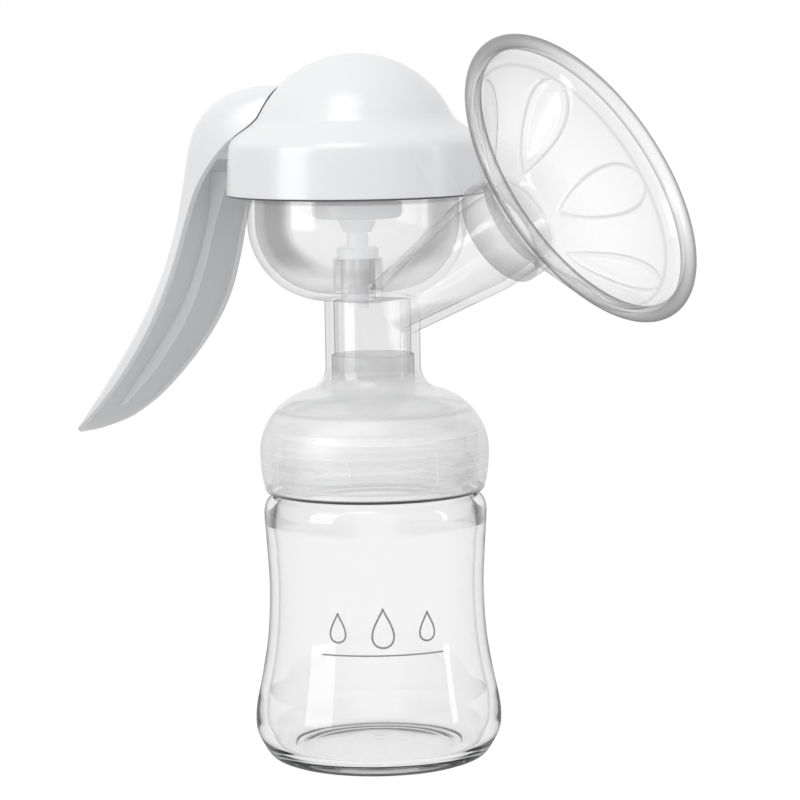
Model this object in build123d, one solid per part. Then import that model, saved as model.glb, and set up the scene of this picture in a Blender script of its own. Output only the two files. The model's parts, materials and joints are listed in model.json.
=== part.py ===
from build123d import *
import os
from math import cos, pi, radians, sin, sqrt, tan

# Manual breast pump: bottle, pump body with funnel tube, lift-off pumping head.
# Millimetres. Origin at the centre of the bottle's base on the table, +Z up,
# +X towards the funnel, symmetric about the plane y = 0.

os.makedirs("parts", exist_ok=True)

# ---- driving dimensions -------------------------------------------------
# bottle
BOTTLE_RIM_Z = 83.95
BOTTLE_NECK_R = 23.6
BOTTLE_MOUTH_R = 21.2
BASE_RING_R = 22.0
BASE_RING_WIDTH = 2.2

# screw thread between bottle neck and skirt
THREAD_PITCH = 4.0
THREAD_START_Z = 72.6
THREAD_GAP = 1.6
BOTTLE_THREAD_TURNS = 1.5
SKIRT_THREAD_TURNS = 1.75
BOTTLE_THREAD_R = 25.3
SKIRT_THREAD_R = 24.0
THREAD_ROOT_HALF = 0.95
THREAD_CREST_HALF = 0.5
THREAD_EMBED = 0.3

# pump body
SKIRT_R = 29.2
SKIRT_BORE_R = 26.4
SKIRT_BOTTOM_Z = 69.2
SEAL_CEILING_Z = 85.5
GRIP_RIBS = 8
GRIP_RIB_R = 0.45
NECK_R = 12.15
NECK_BORE_R = 9.8
VALVE_POCKET_R = 10.5
VALVE_TOP_Z = 104.2
BOWL_X = -4.2
BOWL_R = 27.9
BOWL_FLOOR_Z = 118.0
BOWL_CORNER_R = 20.0
BOWL_RIM_Z = 147.2
BOWL_RIM_R = 29.9
BOWL_WALL = 2.0
CHIMNEY_R = 6.28
CHIMNEY_BORE_R = 4.4
CHIMNEY_TOP_Z = 128.6

# funnel
FUNNEL_TILT = 31.0
FUNNEL_MOUTH_X = 63.0
FUNNEL_MOUTH_Z = 150.3
FUNNEL_RIM_R = 38.2
FUNNEL_BEAD_R = 2.0
TUBE_WALL = 2.1
TUBE_ROOT_S = -74.0
TUBE_ROOT_R = 7.1
TUBE_SHOULDER_S = -35.0
TUBE_SHOULDER_R = 12.3
SPIGOT_R = 12.2
SPIGOT_END_S = -21.0
TUBE_START_X = 3.5
TUBE_BORE_START_X = 6.0
SLEEVE_END_S = -28.0
SLEEVE_R = 13.7

# pumping head, all turned about the bowl's axis
CAP_BOTTOM_Z = 144.8
CAP_R = 33.1
DOME_R = 27.0
DOME_TOP_Z = 180.5
CAP_WALL = 2.2
CAP_BORE_R = 30.3
CAP_STEP_Z = 151.4
FRAME_BOTTOM_Z = 148.8
FRAME_TOP_Z = 151.2
FRAME_R = 29.9
FRAME_BORE_R = 25.0
EAR_IN_Y = 7.2
EAR_OUT_Y = 9.8
EAR_R = 3.0
LEVER_RELIEF_Z = 150.3

# lever: pivot in the head, fork around the plunger's cross pin
PIVOT_X = -28.5
PIVOT_Z = 156.0
PIVOT_PIN_R = 1.6
PIVOT_CLEARANCE = 0.08
LEVER_SWING = 25.0
ARM_HALF_WIDTH = 6.4
ARM_BOSS_R = 3.8
ARM_BOSS_HALF = 6.9
ARM_HEIGHT = 5.2
ARM_ROOT_X = -48.6
ARM_ROOT_LOW_Z = 153.6
ARM_ROOT_HIGH_Z = 160.2
FORK_HALF_GAP = 3.4
ROD_PIN_R = 1.5
FORK_SLOT_R = 1.62
HANDLE_WALL = 2.3
HEAD_TO_CAP_GAP = 0.8

# plunger
ROD_R = 2.7
ROD_BOTTOM_Z = 116.0
ROD_EYE_R = 3.2
ROD_EYE_HALF = 3.0
NUT_BOTTOM_Z = 135.3
NUT_R = 4.84
DISC_BOTTOM_Z = 138.9
DISC_R = 11.5
SHEET_BOTTOM_Z = 142.6
SHEET_TOP_Z = 143.8
WASHER_TOP_Z = 145.4
WASHER_R = 9.0

# derived
HALF_SWING = radians(LEVER_SWING / 2)
ARM_REACH = BOWL_X - PIVOT_X
ROD_PIN_Z = PIVOT_Z - ARM_REACH * tan(HALF_SWING)
ARM_LENGTH = ARM_REACH / cos(HALF_SWING)
FUNNEL_DIR = Vector(cos(radians(FUNNEL_TILT)), 0, sin(radians(FUNNEL_TILT)))
FUNNEL = Plane(origin=(FUNNEL_MOUTH_X, 0, FUNNEL_MOUTH_Z), x_dir=(0, 1, 0), z_dir=FUNNEL_DIR)
BIG = 200.0


# ---- helpers ------------------------------------------------------------
def turned(outline, x=0.0):
    """Solid of revolution about a vertical axis at x; outline is in (radius, height)."""
    face = Plane.XZ * make_face(outline)
    return Pos(x, 0, 0) * revolve(face, Axis.Z)


def turned_on_funnel(outline):
    """Solid of revolution about the funnel's axis; outline is in (radius, distance)."""
    face = Plane.XZ * make_face(outline)
    return FUNNEL.location * revolve(face, Axis.Z)


def disc(radius, low, high, x=0.0):
    return Pos(x, 0, low) * extrude(Circle(radius), high - low)


def bar_along_y(radius, half_length, x, z):
    rod = extrude(Circle(radius), half_length, both=True)
    return Pos(x, 0, z) * Rot(90, 0, 0) * rod


def side_plate(outline, y_low, y_high):
    """Plate cut from an outline in the (x, z) plane, between two values of y."""
    face = Plane.XZ * make_face(outline)
    return Pos(0, y_high, 0) * extrude(face, y_high - y_low, dir=(0, -1, 0))


def block(low, high):
    size = [h - l for l, h in zip(low, high)]
    centre = [(h + l) / 2 for l, h in zip(low, high)]
    return Pos(*centre) * Box(*size)


def thread(root_r, crest_r, start_z, turns):
    """Trapezoidal ridge on a right-handed helix, from root_r to crest_r."""
    out = 1 if crest_r > root_r else -1
    helix = Helix(THREAD_PITCH, THREAD_PITCH * turns, root_r)
    start = Plane(origin=helix @ 0, x_dir=(1, 0, 0), z_dir=helix % 0)
    back = -THREAD_EMBED * out
    tip = crest_r - root_r
    corners = [
        (back, -THREAD_ROOT_HALF),
        (tip, -THREAD_CREST_HALF),
        (tip, THREAD_CREST_HALF),
        (back, THREAD_ROOT_HALF),
    ]
    section = start * make_face(Polyline(*corners, close=True))
    return Pos(0, 0, start_z) * sweep(section, path=helix, is_frenet=True)


# ---- bottle -------------------------------------------------------------
def bottle():
    ring_out = BASE_RING_R + BASE_RING_WIDTH
    heel = ThreePointArc((ring_out, 0), (29.3, 4.1), (31.5, 10.8))
    side = Spline(
        (31.5, 10.8), (30.9, 16.6), (29.5, 23.0), (28.25, 30.2), (27.55, 37.2),
        (27.4, 44.0), (27.65, 50.6), (28.1, 56.8), (28.35, 62.5),
    )
    shoulder = ThreePointArc((28.35, 62.5), (27.5, 67.1), (24.6, 69.3))
    neck = Polyline(
        (24.6, 69.3), (BOTTLE_NECK_R, 70.4), (BOTTLE_NECK_R, 83.0), (22.9, BOTTLE_RIM_Z),
        (21.9, BOTTLE_RIM_Z), (BOTTLE_MOUTH_R, 83.2), (BOTTLE_MOUTH_R, 70.6),
    )
    inner_shoulder = ThreePointArc((BOTTLE_MOUTH_R, 70.6), (24.8, 67.2), (25.95, 61.4))
    inner_side = Spline(
        (25.95, 61.4), (25.6, 55.4), (25.2, 49.6), (25.1, 44.0), (25.35, 37.2),
        (26.0, 30.2), (27.1, 23.0), (28.3, 17.0), (28.9, 11.5),
    )
    inner_heel = ThreePointArc((28.9, 11.5), (25.9, 6.2), (19.0, 4.6))
    floor = ThreePointArc((19.0, 4.6), (12.0, 5.4), (6.0, 5.8)) + Line((6.0, 5.8), (0, 5.8))
    axis = Line((0, 5.8), (0, 2.4))
    punt = Line((0, 2.4), (6.0, 2.4)) + ThreePointArc((6.0, 2.4), (14.5, 1.7), (BASE_RING_R, 0))
    base_ring = Line((BASE_RING_R, 0), (ring_out, 0))
    outside = heel + side + shoulder + neck
    inside = inner_shoulder + inner_side + inner_heel + floor
    glass = turned(outside + inside + axis + punt + base_ring)
    return glass + thread(BOTTLE_NECK_R, BOTTLE_THREAD_R, THREAD_START_Z, BOTTLE_THREAD_TURNS)


def neck_seal():
    ring = [(21.0, 84.0), (25.2, 84.0), (25.2, 85.4), (21.0, 85.4)]
    return turned(Polyline(*ring, close=True))


# ---- pump body ----------------------------------------------------------
def skirt_outside():
    fillet = ThreePointArc((NECK_R, 100.6), (13.5, 97.3), (17.4, 94.9))
    top = fillet + ThreePointArc((17.4, 94.9), (25.6, 89.6), (SKIRT_R, 80.4))
    side = Spline((SKIRT_R, 80.4), (29.1, 77.0), (28.8, 73.8), (28.1, 70.8))
    side += ThreePointArc((28.1, 70.8), (27.7, 69.6), (26.9, SKIRT_BOTTOM_Z))
    rest = Polyline((26.9, SKIRT_BOTTOM_Z), (0, SKIRT_BOTTOM_Z), (0, 100.6), (NECK_R, 100.6))
    shell = turned(top + side + rest)
    for number in range(GRIP_RIBS):
        turn = 360 * (number + 0.5) / GRIP_RIBS
        rib = Pos(SKIRT_R - GRIP_RIB_R + 0.12, 0, 74.0) * extrude(Circle(GRIP_RIB_R), 7.6)
        shell += Rot(0, 0, turn) * rib
    return shell


def skirt_inside():
    outline = Polyline(
        (0, SKIRT_BOTTOM_Z - 1), (SKIRT_BORE_R + 0.3, SKIRT_BOTTOM_Z - 1), (SKIRT_BORE_R, 71.0),
        (SKIRT_BORE_R, 84.2), (25.5, SEAL_CEILING_Z), (20.8, SEAL_CEILING_Z), (20.6, 89.8),
        (13.6, 92.6), (VALVE_POCKET_R, 93.2), (VALVE_POCKET_R, VALVE_TOP_Z),
        (NECK_BORE_R, VALVE_TOP_Z), (NECK_BORE_R, BOWL_FLOOR_Z), (0, BOWL_FLOOR_Z), close=True,
    )
    return turned(outline)


def bowl_outside():
    flat_r = BOWL_R - BOWL_CORNER_R
    corner_z = BOWL_FLOOR_Z + BOWL_CORNER_R
    side = CenterArc((flat_r, corner_z), BOWL_CORNER_R, 270, 90)
    rim = Polyline(
        (BOWL_R, corner_z), (BOWL_R, 145.6), (BOWL_RIM_R, 145.6), (BOWL_RIM_R, BOWL_RIM_Z),
        (0, BOWL_RIM_Z), (0, BOWL_FLOOR_Z), (flat_r, BOWL_FLOOR_Z),
    )
    return turned(side + rim, BOWL_X)


def bowl_inside():
    flat_r = BOWL_R - BOWL_CORNER_R
    corner_z = BOWL_FLOOR_Z + BOWL_CORNER_R
    floor_z = BOWL_FLOOR_Z + BOWL_WALL
    inner_r = BOWL_R - BOWL_WALL
    side = CenterArc((flat_r, corner_z), BOWL_CORNER_R - BOWL_WALL, 270, 90)
    rest = Polyline(
        (inner_r, corner_z), (inner_r, BOWL_RIM_Z + 1), (0, BOWL_RIM_Z + 1), (0, floor_z), (flat_r, floor_z),
    )
    return turned(side + rest, BOWL_X)


def tube_outside():
    outline = Polyline(
        (0, TUBE_ROOT_S), (TUBE_ROOT_R, TUBE_ROOT_S), (TUBE_SHOULDER_R, TUBE_SHOULDER_S),
        (TUBE_SHOULDER_R, SLEEVE_END_S - 0.6), (SPIGOT_R, SLEEVE_END_S - 0.6),
        (SPIGOT_R, SPIGOT_END_S), (0, SPIGOT_END_S), close=True,
    )
    ahead = block((TUBE_START_X, -BIG, 0), (BIG, BIG, BIG))
    return turned_on_funnel(outline) & ahead


def tube_bore():
    outline = Polyline(
        (0, TUBE_ROOT_S), (TUBE_ROOT_R - TUBE_WALL, TUBE_ROOT_S),
        (TUBE_SHOULDER_R - TUBE_WALL, TUBE_SHOULDER_S),
        (SPIGOT_R - TUBE_WALL, SPIGOT_END_S + 1), (0, SPIGOT_END_S + 1), close=True,
    )
    ahead = block((TUBE_BORE_START_X, -BIG, 0), (BIG, BIG, BIG))
    return turned_on_funnel(outline) & ahead


def pump_body():
    tube = tube_outside()
    neck = disc(NECK_R, 96.0, BOWL_FLOOR_Z + 0.5)
    body = skirt_outside() + neck + bowl_outside() + tube
    chamber = bowl_inside() - tube - disc(CHIMNEY_R, 110, CHIMNEY_TOP_Z, BOWL_X)
    body -= chamber
    body -= skirt_inside()
    body -= tube_bore()
    body -= disc(CHIMNEY_BORE_R, BOWL_FLOOR_Z - 1, CHIMNEY_TOP_Z + 1, BOWL_X)
    start = THREAD_START_Z - THREAD_GAP
    return body + thread(SKIRT_BORE_R, SKIRT_THREAD_R, start, SKIRT_THREAD_TURNS)


def stem_guide():
    """Bush on the air chimney that guides the plunger rod, with three air grooves."""
    outline = Polyline(
        (ROD_R + 0.08, 122.0), (CHIMNEY_BORE_R - 0.05, 122.0), (CHIMNEY_BORE_R - 0.05, CHIMNEY_TOP_Z),
        (5.3, CHIMNEY_TOP_Z), (5.3, 130.9), (4.7, 131.5), (ROD_R + 0.08, 131.5), close=True,
    )
    bush = turned(outline, BOWL_X)
    for number in range(3):
        groove = block((3.5, -0.6, 121), (6, 0.6, 132))
        bush -= Pos(BOWL_X, 0, 0) * Rot(0, 0, 60 + 120 * number) * groove
    return bush


def duckbill_valve():
    """Silicone valve under the neck: a round collar that narrows to a slit."""
    lip_z = 86.0
    collar_z = 99.6
    collar = disc(VALVE_POCKET_R - 0.1, collar_z, VALVE_TOP_Z - 0.1)
    outer = loft([Pos(0, 0, lip_z) * Ellipse(7.6, 1.3), Pos(0, 0, collar_z) * Ellipse(9.0, 8.9)])
    inner = loft([Pos(0, 0, lip_z - 0.01) * Ellipse(6.6, 0.35), Pos(0, 0, collar_z) * Ellipse(7.9, 7.8)])
    opening = disc(7.9, collar_z - 0.01, VALVE_TOP_Z + 1)
    return collar + outer - inner - opening


# ---- flange cushion -----------------------------------------------------
def flange_cushion():
    front = Polyline((36.4, -1.6), (34.8, -3.0), (16.6, -16.2))
    front += ThreePointArc((16.6, -16.2), (13.2, -18.6), (10.4, -20.2))
    sleeve = Polyline(
        (10.4, -20.2), (10.4, SPIGOT_END_S + 0.1), (SPIGOT_R + 0.15, SPIGOT_END_S + 0.1),
        (SPIGOT_R + 0.15, SLEEVE_END_S), (SLEEVE_R, SLEEVE_END_S), (SLEEVE_R, -20.4),
    )
    back = ThreePointArc((SLEEVE_R, -20.4), (14.4, -19.2), (16.0, -18.1))
    back += Polyline((16.0, -18.1), (36.2, -3.6), (37.8, -1.4))
    edge = Line((37.8, -1.4), (36.4, -1.6))
    cushion = turned_on_funnel(front + sleeve + back + edge)
    bead = FUNNEL.location * Torus(FUNNEL_RIM_R, FUNNEL_BEAD_R)
    return cushion + bead


# ---- pumping head -------------------------------------------------------
def dome_outline(grow=0.0):
    """Outer line of the cap from its bottom edge to the top: four edges and the top's height."""
    dome_z = DOME_TOP_Z - DOME_R
    dome_r = DOME_R + grow
    foot_z = 165.6
    foot_r = sqrt(dome_r**2 - (foot_z - dome_z) ** 2)
    rise = grow / 2
    wall = Line((CAP_R + grow, CAP_BOTTOM_Z), (32.45 + grow, 156.6 + rise))
    corner = ThreePointArc(
        (32.45 + grow, 156.6 + rise), (31.9 + grow, 158.5 + rise), (30.3 + grow, 160.0 + rise),
    )
    shoulder = ThreePointArc((30.3 + grow, 160.0 + rise), (26.9 + grow, 162.5 + rise), (foot_r, foot_z))
    dome = RadiusArc((foot_r, foot_z), (0, dome_z + dome_r), -dome_r)
    return wall, corner, shoulder, dome, dome_z + dome_r


def cap_clearance():
    """The cap's outer shape grown by the gap kept free for the handle's head."""
    wall, corner, shoulder, dome, top_z = dome_outline(HEAD_TO_CAP_GAP)
    rest = Polyline((0, top_z), (0, CAP_BOTTOM_Z), (CAP_R + HEAD_TO_CAP_GAP, CAP_BOTTOM_Z))
    return turned(wall + corner + shoulder + dome + rest, BOWL_X)


def dome_cap():
    wall, corner, shoulder, dome, top_z = dome_outline()
    inner_dome_r = DOME_R - CAP_WALL
    dome_z = DOME_TOP_Z - DOME_R
    foot_z = 164.2
    foot_r = sqrt(inner_dome_r**2 - (foot_z - dome_z) ** 2)
    down = Line((0, top_z), (0, top_z - CAP_WALL))
    inner_dome = RadiusArc((0, top_z - CAP_WALL), (foot_r, foot_z), inner_dome_r)
    inside = Polyline(
        (foot_r, foot_z), (27.9, 158.6), (29.6, 156.8), (29.7, CAP_STEP_Z), (CAP_BORE_R, CAP_STEP_Z),
        (CAP_BORE_R, CAP_BOTTOM_Z + 0.5), (CAP_BORE_R + 0.5, CAP_BOTTOM_Z), (CAP_R, CAP_BOTTOM_Z),
    )
    shell = turned(wall + corner + shoulder + dome + down + inner_dome + inside, BOWL_X)
    lever_slot = block((-45, -EAR_IN_Y - 0.1, 148.0), (PIVOT_X, EAR_IN_Y + 0.1, 162.6))
    return shell - lever_slot


def lever_frame():
    """Ring that clamps the diaphragm's rim, with two pivot ears and a relief behind them for the lever."""
    ring = disc(FRAME_R, FRAME_BOTTOM_Z, FRAME_TOP_Z, BOWL_X)
    ring -= disc(FRAME_BORE_R, FRAME_BOTTOM_Z - 1, FRAME_TOP_Z + 1, BOWL_X)
    foot = Polyline(
        (PIVOT_X - EAR_R, FRAME_TOP_Z - 0.5), (PIVOT_X + EAR_R, FRAME_TOP_Z - 0.5),
        (PIVOT_X + EAR_R, PIVOT_Z), (PIVOT_X - EAR_R, PIVOT_Z), close=True,
    )
    ears = None
    for low in (EAR_IN_Y, -EAR_OUT_Y):
        plate = side_plate(foot, low, low + EAR_OUT_Y - EAR_IN_Y)
        ears = plate if ears is None else ears + plate
    gap = block((PIVOT_X - 9, -EAR_IN_Y, FRAME_TOP_Z), (PIVOT_X + 9, EAR_IN_Y, 165))
    tops = bar_along_y(EAR_R, EAR_OUT_Y, PIVOT_X, PIVOT_Z) - gap
    ring -= block((-BIG, -EAR_IN_Y, LEVER_RELIEF_Z), (PIVOT_X - EAR_R, EAR_IN_Y, BIG))
    return ring + ears + tops - bar_along_y(PIVOT_PIN_R, BIG, PIVOT_X, PIVOT_Z)


def pivot_pin():
    return bar_along_y(PIVOT_PIN_R, EAR_OUT_Y + 0.3, PIVOT_X, PIVOT_Z)


def diaphragm():
    top = Spline((24.4, FRAME_BOTTOM_Z), (20.0, 146.5), (15.5, 144.5), (11.0, SHEET_TOP_Z))
    centre = Polyline(
        (11.0, SHEET_TOP_Z), (ROD_R, SHEET_TOP_Z), (ROD_R, SHEET_BOTTOM_Z), (11.6, SHEET_BOTTOM_Z),
    )
    under = Spline((11.6, SHEET_BOTTOM_Z), (15.9, 143.3), (20.3, 145.1), (24.6, BOWL_RIM_Z))
    rim = Polyline((24.6, BOWL_RIM_Z), (29.6, BOWL_RIM_Z), (29.6, FRAME_BOTTOM_Z), (24.4, FRAME_BOTTOM_Z))
    return turned(top + centre + under + rim, BOWL_X)


# ---- plunger ------------------------------------------------------------
def washer(outline):
    return turned(Polyline(*outline, close=True), BOWL_X)


def plunger_disc():
    return washer([
        (ROD_R, DISC_BOTTOM_Z), (10.7, DISC_BOTTOM_Z), (DISC_R, DISC_BOTTOM_Z + 0.8),
        (DISC_R, SHEET_BOTTOM_Z), (ROD_R, SHEET_BOTTOM_Z),
    ])


def clamp_nut():
    return washer([
        (ROD_R, NUT_BOTTOM_Z), (3.6, NUT_BOTTOM_Z), (NUT_R, DISC_BOTTOM_Z - 0.8),
        (NUT_R, DISC_BOTTOM_Z), (ROD_R, DISC_BOTTOM_Z),
    ])


def lift_washer():
    return washer([
        (ROD_R, SHEET_TOP_Z), (WASHER_R, SHEET_TOP_Z), (WASHER_R, WASHER_TOP_Z - 0.5),
        (WASHER_R - 0.5, WASHER_TOP_Z), (ROD_R, WASHER_TOP_Z),
    ])


def plunger_rod():
    rod = disc(ROD_R, ROD_BOTTOM_Z, ROD_PIN_Z, BOWL_X)
    rod += bar_along_y(ROD_EYE_R, ROD_EYE_HALF, BOWL_X, ROD_PIN_Z)
    return rod - bar_along_y(ROD_PIN_R, BIG, BOWL_X, ROD_PIN_Z)


def rod_pin():
    return bar_along_y(ROD_PIN_R, ARM_HALF_WIDTH + 0.2, BOWL_X, ROD_PIN_Z)


# ---- handle and lever arm -----------------------------------------------
# From the tip up and over the head: back line (x, z), free edge (x, z), half width.
HANDLE_STATIONS = [
    ((-93.0, 79.5), (-91.6, 80.2), 5.2),
    ((-87.4, 83.6), (-85.2, 83.6), 11.4),
    ((-82.2, 89.2), (-78.2, 89.2), 13.4),
    ((-75.0, 98.0), (-69.4, 98.0), 14.6),
    ((-67.4, 107.4), (-61.6, 107.8), 15.5),
    ((-61.1, 117.0), (-56.1, 117.2), 15.6),
    ((-56.6, 127.0), (-52.1, 127.2), 14.7),
    ((-53.5, 137.5), (-48.9, 137.4), 13.9),
    ((-51.9, 147.5), (-44.6, 147.4), 13.8),
    ((-50.9, 156.3), (-37.0, 156.2), 14.2),
    ((-48.4, 163.0), (-31.0, 160.4), 14.3),
    ((-43.6, 168.0), (-26.0, 162.8), 13.9),
    ((-37.0, 171.2), (-22.0, 165.0), 13.0),
    ((-29.4, 172.4), (-19.0, 166.6), 12.2),
    ((-19.0, 172.3), (-17.0, 167.2), 11.6),
]
CHANNEL_CORNER_R = 6.0


def channel_section(back, edge, half_width, before=0.0, ahead=0.0):
    """Channel outline across one station: straight sides, round corners, a slightly crowned back."""
    start = Vector(edge[0] + ahead, 0, edge[1])
    inward = Vector(back[0] + ahead, 0, back[1]) - start
    depth = inward.length
    inward = inward / depth
    across = Vector(0, 1, 0)
    plane = Plane(origin=start, x_dir=inward, z_dir=inward.cross(across))
    corner = min(CHANNEL_CORNER_R, 0.75 * depth, 0.75 * half_width)
    crown = 0.04 * half_width
    side = depth - crown
    turn = corner * (1 - cos(pi / 4))
    near = Line((-before, -half_width), (side - corner, -half_width))
    near += ThreePointArc(
        (side - corner, -half_width), (side - turn, turn - half_width), (side, corner - half_width),
    )
    middle = ThreePointArc((side, corner - half_width), (depth, 0), (side, half_width - corner))
    far = ThreePointArc(
        (side, half_width - corner), (side - turn, half_width - turn), (side - corner, half_width),
    )
    far += Line((side - corner, half_width), (-before, half_width))
    mouth = Line((-before, half_width), (-before, -half_width))
    return plane * make_face(near + middle + far + mouth)


def handle_outside():
    return loft([channel_section(*station) for station in HANDLE_STATIONS])


def handle_inside():
    sections = []
    for back, edge, half_width in HANDLE_STATIONS:
        run = Vector(edge[0] - back[0], 0, edge[1] - back[1])
        if run.length < HANDLE_WALL + 0.4:
            continue
        inner = Vector(back[0], 0, back[1]) + run.normalized() * HANDLE_WALL
        sections.append(((inner.X, inner.Z), edge, half_width - HANDLE_WALL, 3.0))
    ahead = [0.0] * (len(sections) - 1) + [3.0]
    return loft([channel_section(*section, shift) for section, shift in zip(sections, ahead)])


def lever_arm():
    beyond = ARM_LENGTH + 3.6
    bar = Pos(beyond / 2, 0, 0) * Box(beyond, 2 * ARM_HALF_WIDTH, ARM_HEIGHT)
    bar -= block((13.5, -FORK_HALF_GAP, -BIG), (BIG, FORK_HALF_GAP, BIG))
    slot_mid = (ARM_LENGTH + ARM_REACH) / 2
    for distance in (-0.6, 0.6):
        bar -= bar_along_y(FORK_SLOT_R, BIG, slot_mid + distance, 0)
    bar -= block((slot_mid - 0.6, -BIG, -FORK_SLOT_R), (slot_mid + 0.6, BIG, FORK_SLOT_R))
    arm = Pos(PIVOT_X, 0, PIVOT_Z) * Rot(0, LEVER_SWING / 2, 0) * bar
    arm += block((ARM_ROOT_X, -ARM_HALF_WIDTH, ARM_ROOT_LOW_Z), (PIVOT_X, ARM_HALF_WIDTH, ARM_ROOT_HIGH_Z))
    arm += bar_along_y(ARM_BOSS_R, ARM_BOSS_HALF, PIVOT_X, PIVOT_Z)
    return arm - bar_along_y(PIVOT_PIN_R + PIVOT_CLEARANCE, BIG, PIVOT_X, PIVOT_Z)


def handle():
    outside = handle_outside()
    shell = outside - handle_inside()
    rib = outside & block((-BIG, -0.8, 84.0), (BIG, 0.8, 148.0))
    return shell + rib - cap_clearance() - lever_arm()


PARTS = {
    "bottle": bottle,
    "neck_seal": neck_seal,
    "pump_body": pump_body,
    "stem_guide": stem_guide,
    "duckbill_valve": duckbill_valve,
    "flange_cushion": flange_cushion,
    "dome_cap": dome_cap,
    "lever_frame": lever_frame,
    "pivot_pin": pivot_pin,
    "diaphragm": diaphragm,
    "plunger_disc": plunger_disc,
    "clamp_nut": clamp_nut,
    "lift_washer": lift_washer,
    "plunger_rod": plunger_rod,
    "rod_pin": rod_pin,
    "lever_arm": lever_arm,
    "handle": handle,
}

for node, make in PARTS.items():
    export_step(make(), f"parts/{node}.step")
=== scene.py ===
import json
from math import atan2, cos, exp, hypot, pi, radians, sin, sqrt

import bmesh
import bpy
from mathutils import Matrix, Vector


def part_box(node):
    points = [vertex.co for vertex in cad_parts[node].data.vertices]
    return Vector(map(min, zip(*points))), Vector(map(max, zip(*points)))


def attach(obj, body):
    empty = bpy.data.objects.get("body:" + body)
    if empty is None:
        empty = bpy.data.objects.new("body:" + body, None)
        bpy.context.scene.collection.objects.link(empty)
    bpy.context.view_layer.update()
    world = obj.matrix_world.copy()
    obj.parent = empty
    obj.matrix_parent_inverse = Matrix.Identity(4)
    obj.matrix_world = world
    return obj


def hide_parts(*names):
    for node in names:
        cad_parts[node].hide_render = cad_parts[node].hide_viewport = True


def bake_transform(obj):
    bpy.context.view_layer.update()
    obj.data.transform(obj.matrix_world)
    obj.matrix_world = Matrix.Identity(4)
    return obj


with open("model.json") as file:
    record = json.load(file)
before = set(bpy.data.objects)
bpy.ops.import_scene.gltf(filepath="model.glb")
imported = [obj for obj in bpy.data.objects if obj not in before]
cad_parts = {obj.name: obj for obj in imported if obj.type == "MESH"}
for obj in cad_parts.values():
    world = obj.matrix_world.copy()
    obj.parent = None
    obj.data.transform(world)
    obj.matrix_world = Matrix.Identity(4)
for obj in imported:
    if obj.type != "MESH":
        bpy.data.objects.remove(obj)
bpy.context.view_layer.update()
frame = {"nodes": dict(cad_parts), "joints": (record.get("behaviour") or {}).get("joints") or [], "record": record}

MM = 0.001
TURN = 2 * pi
SEGMENTS = 160

scene = bpy.context.scene
scene.view_settings.view_transform = "Standard"
joints = {joint["name"]: joint for joint in frame["joints"]}
nodes = frame["nodes"]


# ---------------------------------------------------------------- places
HEAD_X = (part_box("plunger_disc")[0].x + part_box("plunger_disc")[1].x) / 2
PIVOT = Vector(joints["handle_squeeze"]["pos_m"])
FUNNEL_AXIS = Vector(joints["cushion_pull"]["axis"]).normalized()
TILT = atan2(FUNNEL_AXIS.z, FUNNEL_AXIS.x)
RIM_R = 38.2
BEAD_R = 2.0
cushion_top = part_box("flange_cushion")[1]
FUNNEL_MOUTH = Vector((
    cushion_top.x - (RIM_R * sin(TILT) + BEAD_R) * MM,
    0.0,
    cushion_top.z - (RIM_R * cos(TILT) + BEAD_R) * MM,
))


# ---------------------------------------------------------------- mesh helpers
def curve_value(t, p, q, r, s):
    """Catmull-Rom value at t between q and r, with their neighbours p and s."""
    square, cube = 2 * p - 5 * q + 4 * r - s, 3 * q - p - 3 * r + s
    return 0.5 * (2 * q + (r - p) * t + square * t**2 + cube * t**3)


def smooth_curve(points, steps=8):
    """Catmull-Rom curve through the points, as a list of tuples."""
    padded = [points[0]] + list(points) + [points[-1]]
    out = []
    for a, b, c, d in zip(padded, padded[1:], padded[2:], padded[3:]):
        for k in range(steps):
            t = k / steps
            out.append(tuple(curve_value(t, *values) for values in zip(a, b, c, d)))
    out.append(tuple(points[-1]))
    return out


def arc(centre, radius, start, end, steps=12):
    """Points on an arc in (radius, height), angles in degrees."""
    angles = [radians(start + (end - start) * k / steps) for k in range(steps + 1)]
    return [(centre[0] + radius * cos(a), centre[1] + radius * sin(a)) for a in angles]


def new_object(name, bm, material, smooth_angle=35.0):
    mesh = bpy.data.meshes.new(name)
    bmesh.ops.recalc_face_normals(bm, faces=bm.faces)
    bm.to_mesh(mesh)
    bm.free()
    obj = bpy.data.objects.new(name, mesh)
    scene.collection.objects.link(obj)
    mesh.materials.append(material)
    shade(mesh, smooth_angle)
    return obj


def shade(mesh, smooth_angle):
    """Smooth shading with edges sharper than the angle kept crisp."""
    for polygon in mesh.polygons:
        polygon.use_smooth = True
    mesh.set_sharp_from_angle(angle=radians(smooth_angle))


def lathe(profile, segments=SEGMENTS, closed=True, bend=None):
    """bmesh of a profile in (radius, height) mm turned about the z axis."""
    bm = bmesh.new()
    rings = []
    for index, (radius, height) in enumerate(profile):
        if radius < 1e-6:
            rings.append([bm.verts.new((0, 0, height * MM))])
            continue
        ring = []
        for k in range(segments):
            angle = TURN * k / segments
            point = (radius, angle, height) if bend is None else bend(index, radius, angle, height)
            r, a, h = point
            ring.append(bm.verts.new((r * cos(a) * MM, r * sin(a) * MM, h * MM)))
        rings.append(ring)
    pairs = list(zip(rings, rings[1:]))
    if closed and len(rings[0]) > 1 and len(rings[-1]) > 1:
        pairs.append((rings[-1], rings[0]))
    for low, high in pairs:
        for k in range(segments):
            n = (k + 1) % segments
            corners = [low[k % len(low)], low[n % len(low)], high[n % len(high)], high[k % len(high)]]
            unique = list(dict.fromkeys(corners))
            if len(unique) > 2:
                bm.faces.new(unique)
    return bm


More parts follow.
